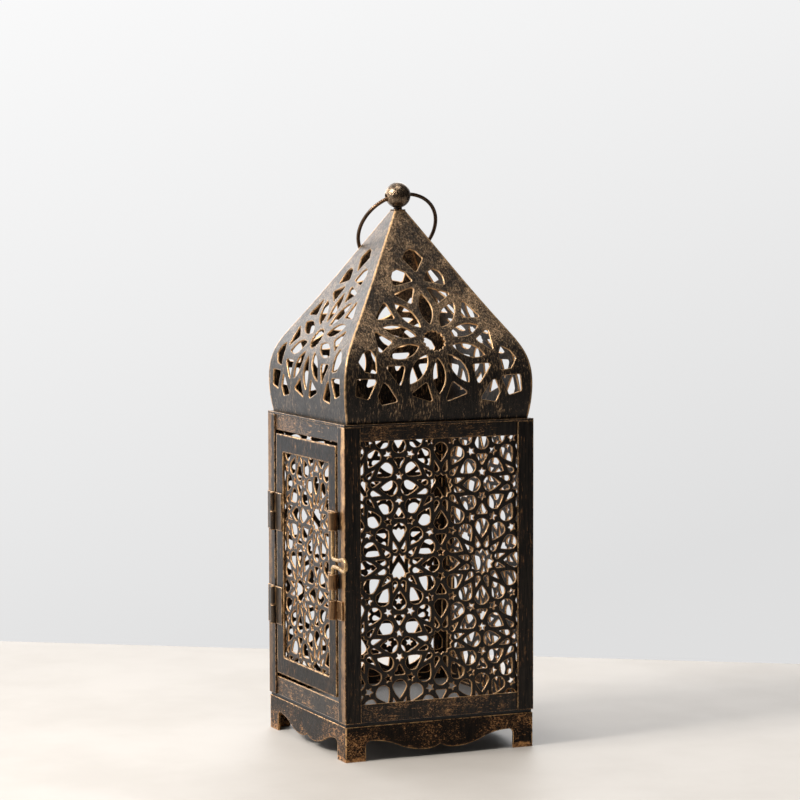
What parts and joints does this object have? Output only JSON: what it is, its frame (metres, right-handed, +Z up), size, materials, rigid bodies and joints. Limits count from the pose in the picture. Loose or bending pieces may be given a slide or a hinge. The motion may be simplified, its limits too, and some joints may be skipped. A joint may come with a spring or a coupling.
{
  "type": "lantern",
  "caption": "Square pierced metal candle lantern with ogee roof, ball finial and ring handle, hinged front door with a sliding wire bolt, on a scalloped footed base.",
  "frame": {"origin": "centre of the square footprint, on the surface the lantern stands on", "axes": "+Z up; -Y is the door side, with the hinges towards -X and the bolt towards +X"},
  "size_m": [0.114, 0.1101, 0.2906],
  "materials": {
    "body_sheet": "black paint rubbed back to copper on the edges",
    "pierced_sheet": "black paint, copper on the cut edges",
    "roof_sheet": "mottled dark bronze and black",
    "floor": "dull grey",
    "latch_metal": "aged copper",
    "wire": "dark bronze",
    "ball": "aged bronze"
  },
  "bodies": {
    "lantern": {"floor_plate": "floor", "top_collar": "body_sheet", "apex_cap": "roof_sheet", "finial_neck": "body_sheet", "finial_ball": "ball", "base_skirt_front": "body_sheet", "base_skirt_right": "body_sheet", "base_skirt_back": "body_sheet", "base_skirt_left": "body_sheet", "post_front_left": "body_sheet", "post_front_right": "body_sheet", "post_back_right": "body_sheet", "post_back_left": "body_sheet", "rail_top_front": "body_sheet", "rail_top_right": "body_sheet", "rail_top_back": "body_sheet", "rail_top_left": "body_sheet", "rail_bottom_front": "body_sheet", "rail_bottom_right": "body_sheet", "rail_bottom_back": "body_sheet", "rail_bottom_left": "body_sheet", "panel_right": "pierced_sheet", "panel_back": "pierced_sheet", "panel_left": "pierced_sheet", "roof_front": "roof_sheet", "roof_right": "roof_sheet", "roof_back": "roof_sheet", "roof_left": "roof_sheet", "hinge_upper_frame_leaf": "latch_metal", "hinge_upper_pin": "latch_metal", "hinge_lower_frame_leaf": "latch_metal", "hinge_lower_pin": "latch_metal", "latch_keeper": "latch_metal"},
    "door": {"door_frame": "body_sheet", "door_grille": "pierced_sheet", "hinge_upper_door_leaf": "latch_metal", "hinge_lower_door_leaf": "latch_metal", "latch_upper_sleeve": "latch_metal", "latch_middle_sleeve": "latch_metal"},
    "bolt": {"latch_bolt": "wire"},
    "ring": {"ring_handle": "wire"}
  },
  "joints": [
    {"name": "door_hinge", "type": "hinge", "parent": "lantern", "child": "door", "pos_m": [-0.04225, -0.0541, 0.09], "axis": [0, 0, -1], "range_deg": [0, 165]},
    {"name": "bolt_slide", "type": "slide", "parent": "door", "child": "bolt", "axis": [0, 0, 1], "range_m": [-0.0023, 0.009]},
    {"name": "ring_swing", "type": "hinge", "parent": "lantern", "child": "ring", "pos_m": [0, 0, 0.2839], "axis": [0.0854, 0.9762, 0.1994], "range_deg": [0, 288]}
  ]
}
